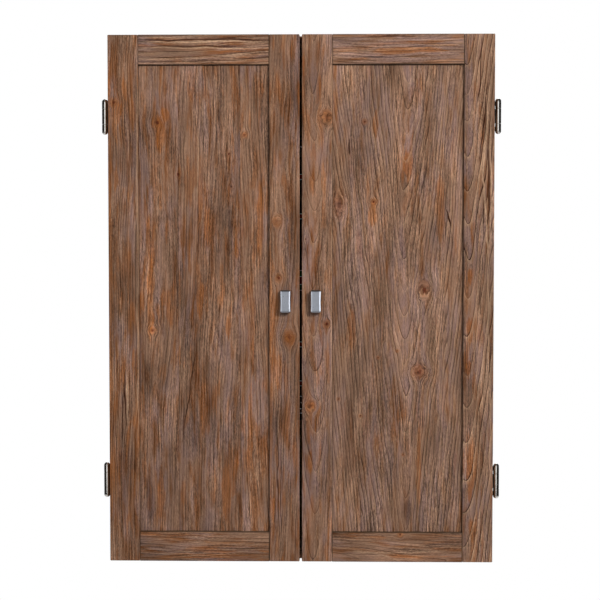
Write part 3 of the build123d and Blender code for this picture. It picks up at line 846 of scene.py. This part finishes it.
def wire(shape, path, radius, closed=False, sides=10):
    """Adds round wire along a path of points."""
    path = [Vector(p) for p in path]
    count = len(path)
    rings = []
    side = None
    for i, point in enumerate(path):
        ahead = path[(i + 1) % count] if closed or i + 1 < count else point
        behind = path[i - 1] if closed or i > 0 else point
        along = (ahead - behind).normalized()
        if side is None:
            side = along.orthogonal().normalized()
        side = (side - along * side.dot(along)).normalized()
        other = along.cross(side)
        spokes = [side * math.cos(a) + other * math.sin(a) for a in angles(sides)]
        rings.append(shape.ring([point + radius * spoke for spoke in spokes]))
    shape.tube(rings, closed)


def rounded(points, radius, steps=5):
    """A path with its corners bent to a radius, as far as the strokes allow."""
    points = [Vector(p) for p in points]
    path = [points[0]]
    for before, corner, after in zip(points, points[1:], points[2:]):
        into, out = (before - corner), (after - corner)
        reach = min(radius, into.length * 0.45, out.length * 0.45)
        start = corner + into.normalized() * reach
        end = corner + out.normalized() * reach
        for i in range(steps + 1):
            f = i / steps
            path.append(start.lerp(corner, f).lerp(corner.lerp(end, f), f))
    return path + [points[-1]]


def islands(name):
    """The box of each separate solid of a CAD node."""
    mesh = nodes[name].data
    spots = {}
    leader = []

    def find(i):
        while leader[i] != i:
            i = leader[i]
        return i

    own = []
    for vertex in mesh.vertices:
        key = tuple(round(c, 6) for c in vertex.co)
        if key not in spots:
            spots[key] = len(leader)
            leader.append(len(leader))
        own.append(spots[key])
    for edge in mesh.edges:
        a, b = [find(own[i]) for i in edge.vertices]
        leader[max(a, b)] = min(a, b)
    boxes = {}
    for vertex, spot in zip(mesh.vertices, own):
        low, high = boxes.setdefault(find(spot), ([1e9] * 3, [-1e9] * 3))
        for axis in range(3):
            low[axis] = min(low[axis], vertex.co[axis])
            high[axis] = max(high[axis], vertex.co[axis])
    return [(Vector(low), Vector(high)) for low, high in boxes.values()]


# ---- Pulls ----


def pull(side):
    """Bridge pull: thick strip bent back to the door at both ends, waisted, with bevelled sides."""
    low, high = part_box(f"{side}_pull")
    middle = (low.x + high.x) / 2
    door, front = high.y, low.y
    top, bottom = high.z, low.z
    centre, half = (top + bottom) / 2, (top - bottom) / 2
    strip, leg = 3.0 * MM, 5.6 * MM
    outer_bend, inner_bend = 3.4 * MM, 1.8 * MM
    waist = 0.4 * MM
    # Bevel of the front edges: in from the side and back from the face, in millimetres
    bevel = ((2.2, 0.0), (0.45, 0.85), (0.08, 1.5))

    def bent(reach, face, radius):
        """The upper half of one side of the strip: from the door, round the bend, to the middle.
        Each point comes with the angle that the strip has turned through there.
        """
        path = [(door, reach, 0.0), ((door + face + radius) / 2, reach, 0.0)]
        for i in range(9):
            a = math.pi / 2 * i / 8
            path.append((face + radius - radius * math.sin(a), reach - radius + radius * math.cos(a), a))
        return path + [(face, (reach - radius) * f, math.pi / 2) for f in (0.96, 0.7, 0.35, 0.0)]

    outer = bent(half, front, outer_bend)
    inner = bent(half - leg, front + strip, inner_bend)
    pairs = list(zip(outer, inner))
    pairs += [((o[0], -o[1], math.pi - o[2]), (i[0], -i[1])) for o, i in reversed(pairs[:-1])]
    shape = Shape()
    rings = []
    for out, into in pairs:
        away = Vector((0, into[0] - out[0], into[1] - out[1]))
        thick = away.length
        away.normalize()
        wide = (high.x - low.x) / 2 - waist * (1 - min(1.0, abs(out[1]) / half) ** 2)
        square = Vector((0, math.sin(out[2]), -math.cos(out[2])))
        edge = [(wide - inset * MM, square * depth * MM) for inset, depth in bevel]
        edge += [(wide, away * thick * 0.75), (wide - 0.35 * MM, away * thick)]
        section = edge + [(-x, depth) for x, depth in reversed(edge)]
        base = Vector((middle, out[0], centre + out[1]))
        rings.append(shape.ring([base + Vector((x, 0, 0)) + depth for x, depth in section]))
    shape.tube(rings)
    shape.done(f"{side}_pull_strip", NICKEL, f"{side}_door", "pull_metal", f"{side}_pull", smooth=20.0)


for side in ("left", "right"):
    pull(side)


# ---- Screws ----


def screw(shape, low, high, axis, toward, pan):
    """One screw in the box of a CAD screw. Its tip points along the axis, forward where toward
    is 1 and back where it is -1. Its head has a cross recess, and is a pan or countersunk.
    """
    middle = (low + high) / 2
    length = high[axis] - low[axis]
    others = [i for i in range(3) if i != axis]
    head = (high[others[0]] - low[others[0]]) / 2
    shank = head * (0.55 if pan else 0.52)
    thick = 1.7 * MM if pan else head - shank
    top = low[axis] if toward > 0 else high[axis]
    spin = random.uniform(0, math.pi)

    def spot(a, b, depth):
        """A point a, b across the head and depth below its top."""
        point = [0.0, 0.0, 0.0]
        point[axis] = top + toward * depth
        point[others[0]] = middle[others[0]] + a * math.cos(spin) - b * math.sin(spin)
        point[others[1]] = middle[others[1]] + a * math.sin(spin) + b * math.cos(spin)
        return point

    def crown(f):
        """How far the rounded top has dropped at a fraction of the head's radius."""
        return thick * 0.55 * f ** 2.6 if pan else thick * 0.06 * f ** 6

    def recess(a, b):
        """Depth of the cross at a point of the head."""
        near, far = sorted((abs(a) / head, abs(b) / head))
        if near > 0.11 or far > 0.52:
            return 0.0
        return thick * 0.85 * (1 - far / 0.62)

    rings = []
    sides = 40
    for f in (0.02, 0.1, 0.13, 0.24, 0.36, 0.46, 0.51, 0.54, 0.7, 0.84, 0.93, 0.98, 1.0):
        flat = [(head * f * math.cos(angle), head * f * math.sin(angle)) for angle in angles(sides)]
        rings.append(shape.ring([spot(a, b, crown(f) + recess(a, b)) for a, b in flat]))
    under = [(head, thick), (shank, thick)] if pan else [(shank, thick)]
    tip = [(shank, length * 0.8), (shank * 0.7, length * 0.92), (shank * 0.12, length)]
    for radius, depth in under + tip:
        flat = [(radius * math.cos(angle), radius * math.sin(angle)) for angle in angles(sides)]
        rings.append(shape.ring([spot(a, b, depth) for a, b in flat]))
    shape.tube(rings)


def screws(name, body, axis=1, toward=1, pan=False):
    """All the screws of a CAD node. Where toward is 0, their tips point away from the bull."""
    shape = Shape()
    for low, high in islands(name):
        screw(shape, low, high, axis, toward or math.copysign(1, low[axis] + high[axis]), pan)
    shape.done(f"{name}_cross", ZINC, body, "screw_steel", name, smooth=28.0)


random.seed(7)
screws("case_leaf_screws", "case")
screws("back_panel_screws", "case", toward=-1)
screws("catch_screws", "case", axis=2, toward=0, pan=True)
screws("board_bracket_screws", "case")
for side in ("left", "right"):
    for kind in ("pull_screws", "scoreboard_screws"):
        screws(f"{side}_{kind}", f"{side}_door", toward=-1, pan=True)
    for kind in ("leaf_screws", "rack_screws"):
        screws(f"{side}_{kind}", f"{side}_door", toward=-1)


# ---- Dartboard wires and numbers ----


def circle(radius, y, count):
    """Points of a circle round the middle of the board."""
    return [(radius * math.sin(a), y, radius * math.cos(a)) for a in angles(count)]


def spider():
    """Welded round wire: six rings and twenty straights that sag a little into the fibre."""
    low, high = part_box("dartboard_wires")
    y = (low.y + high.y) / 2
    thin = (high.y - low.y) / 2
    shape = Shape()
    for radius in (BULL, OUTER_BULL, TREBLE - BED, TREBLE, DOUBLE - BED, DOUBLE):
        wire(shape, circle(radius * MM, y, 40 if radius < 20 else 160), thin, closed=True)
    for i in range(SEGMENTS):
        a = math.radians(SEGMENT * (i + 0.5))
        path = []
        for f in range(9):
            r = (OUTER_BULL + (DOUBLE - OUTER_BULL) * f / 8) * MM
            path.append((r * math.sin(a), y + random.uniform(-0.05, 0.05) * MM, r * math.cos(a)))
        wire(shape, path, thin * 0.92)
    shape.done("board_spider", WIRE, "dartboard", "wire_steel", "dartboard_wires")


# Strokes of each digit, bent from one wire on a grid one wide and two high
DIGITS = {
    "0": [(0.5, 0), (0, 0), (0, 2), (1, 2), (1, 0), (0.5, 0)],
    "1": [(0.5, 0), (0.5, 2)],
    "2": [(0, 2), (1, 2), (1, 1), (0, 1), (0, 0), (1, 0)],
    "3": [(0, 2), (1, 2), (1, 1), (0.3, 1), (1, 1), (1, 0), (0, 0)],
    "4": [(0, 2), (0, 1), (1, 1), (1, 2), (1, 0)],
    "5": [(1, 2), (0, 2), (0, 1), (1, 1), (1, 0), (0, 0)],
    "6": [(1, 2), (0, 2), (0, 0), (1, 0), (1, 1), (0, 1)],
    "7": [(0, 2), (1, 2), (1, 0)],
    "8": [(1, 1), (0, 1), (0, 2), (1, 2), (1, 0), (0, 0), (0, 1)],
    "9": [(1, 1), (0, 1), (0, 2), (1, 2), (1, 0), (0, 0)],
}
# Clockwise from the top
NUMBERS = (20, 1, 18, 4, 13, 6, 10, 15, 2, 17, 3, 19, 7, 16, 8, 11, 14, 9, 12, 5)


def numbers():
    """Wire hoop with its numbers, each digit one bent wire with a stem to the hoop."""
    hoop, hoop_wire = 214.0, 1.2
    middle, tall, wide = 197.0, 20.0, 9.0
    digit_wire, stem_wire, bend = 0.85, 0.8, 2.2
    low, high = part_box("number_ring")
    centre_y = (low.y + high.y) / 2
    shape = Shape()
    wire(shape, circle(hoop * MM, centre_y, 180), hoop_wire * MM, closed=True)
    for i, number in enumerate(NUMBERS):
        turn = math.radians(SEGMENT * i)
        flipped = 90 < SEGMENT * i < 270
        digits = str(number)
        for place, digit in enumerate(digits):
            left = (place - (len(digits) - 1) / 2) * (wide + 4) - wide / 2

            def spot(x, z):
                """A point of the digit, turned to its place on the board."""
                x, z = (-x, -z) if flipped else (x, z)
                z += middle
                return (MM * (x * math.cos(turn) + z * math.sin(turn)), centre_y,
                        MM * (z * math.cos(turn) - x * math.sin(turn)))

            path = [spot(left + x * wide, (z - 1) * tall / 2) for x, z in DIGITS[digit]]
            wire(shape, rounded(path, bend * MM), digit_wire * MM, sides=8)
            stem_x = left + wide * (0.5 if digit == "1" else 1)
            end = -1 if flipped else 1
            gap = math.sqrt(hoop ** 2 - stem_x ** 2) - middle
            stem = [spot(stem_x, end * (tall / 2 - 2.5)), spot(stem_x, end * gap)]
            wire(shape, stem, stem_wire * MM, sides=8)
    shape.done("number_ring_wire", WIRE, "number_ring", "wire_steel", "number_ring")


spider()
numbers()


# ---- Camera, light and floor ----


def area(name, place, aim, size, power, tint=(1.0, 1.0, 1.0), mirrored=True):
    """A soft lamp that faces a point. One that isn't mirrored leaves no highlight in metal."""
    lamp = bpy.data.lights.new(name, "AREA")
    lamp.shape = "RECTANGLE"
    lamp.size, lamp.size_y = size
    lamp.energy = power
    lamp.color = tint
    made = bpy.data.objects.new(name, lamp)
    made.location = place
    made.rotation_euler = (Vector(aim) - Vector(place)).to_track_quat("-Z", "Y").to_euler()
    made.visible_camera = False
    made.visible_glossy = mirrored
    bpy.context.scene.collection.objects.link(made)
    return made


def card(name, place, size, power, only=()):
    """A glowing card that metal mirrors and that casts no plain light. It may serve only some pieces."""
    made = area(name, place, (0.0, -0.1, 0.0), size, power)
    made.visible_diffuse = False
    if only:
        served = bpy.data.collections.new(name)
        for piece in only:
            served.objects.link(bpy.data.objects[piece])
        made.light_linking.receiver_collection = served


def studio():
    """White surroundings that light the object only a little, and soft lamps."""
    world = bpy.data.worlds.new("studio")
    world.use_nodes = True
    t = Tree(world.node_tree)
    world.node_tree.nodes.clear()
    ray = t.node("LightPath").outputs
    glow = t.node("Background")
    dim = t.mix(ray["Is Glossy Ray"], (0.05, 0.05, 0.052, 1.0), (0.03, 0.03, 0.03, 1.0))
    t.put(t.mix(ray["Is Camera Ray"], dim, (1.0, 1.0, 1.0, 1.0)), glow.inputs["Color"])
    t.put(glow.outputs[0], t.node("OutputWorld").inputs[0])
    bpy.context.scene.world = world
    area("key", (1.25, -2.1, 1.0), (0.0, -0.1, 0.2), (0.9, 0.6), 60.0, (1.0, 0.985, 0.965),
         mirrored=False)
    area("fill", (-1.1, -2.6, 0.9), (0.0, -0.1, 0.0), (1.6, 1.2), 20.0, mirrored=False)
    card("front", (0.0, -3.6, 0.1), (3.0, 2.2), 22.0)
    card("above", (0.0, -2.3, 2.3), (2.6, 2.2), 6.0)
    pulls = ["left_pull_strip", "right_pull_strip"]
    card("right strip", (2.1, -1.5, 0.1), (0.7, 2.6), 34.0, pulls)
    card("left strip", (-2.2, -1.6, 0.1), (0.7, 2.6), 15.0, pulls)
    card("low left", (-1.9, -2.6, -1.3), (1.8, 1.6), 12.0, pulls)
    card("low right", (1.9, -2.6, -1.3), (1.8, 1.6), 12.0, pulls)
    area("back", (0.3, 2.6, 1.8), (0.0, 0.0, 0.0), (2.0, 1.4), 40.0)
    for name, x in (("left side", -2.6), ("right side", 2.6)):
        area(name, (x, 1.0, 0.7), (0.0, 0.0, 0.0), (1.4, 1.4), 30.0, mirrored=False)


def camera():
    """A long lens a little to the right of the middle and a little above it."""
    lens = bpy.data.cameras.new("camera")
    lens.lens = 79.65
    lens.sensor_width = 36.0
    made = bpy.data.objects.new("camera", lens)
    made.location = (0.0421, -2.2125, 0.055)
    down, left = 2.32, 1.18  # degrees
    made.rotation_euler = (math.radians(90 - down), 0.0, math.radians(left))
    bpy.context.scene.collection.objects.link(made)
    bpy.context.scene.camera = made


def floor():
    """Pale floor as far below the bull as a player stands. It glows a little to look white."""
    mesh = bpy.data.meshes.new("floor")
    z, reach = -1.73, 4.0
    corners = [(-reach, -reach, z), (reach, -reach, z), (reach, reach, z), (-reach, reach, z)]
    mesh.from_pydata(corners, [], [(0, 1, 2, 3)])
    made = bpy.data.objects.new("floor", mesh)
    bpy.context.scene.collection.objects.link(made)
    finish, t, shader = material("floor")
    grain = t.noise(t.place(), 3.0, 0.6, (90, 90, 90))
    t.put(t.mix(grain, (0.82, 0.82, 0.82, 1), (0.88, 0.88, 0.88, 1)), shader.inputs["Base Color"])
    shader.inputs["Roughness"].default_value = 0.8
    shader.inputs["Emission Color"].default_value = (1.0, 1.0, 1.0, 1.0)
    ray = t.node("LightPath").outputs
    glow = t.add(t.times(ray["Is Camera Ray"], 0.55), t.times(ray["Is Glossy Ray"], 0.12))
    t.put(glow, shader.inputs["Emission Strength"])
    mesh.materials.append(finish)


studio()
camera()
floor()
bpy.context.scene.view_settings.view_transform = "Standard"
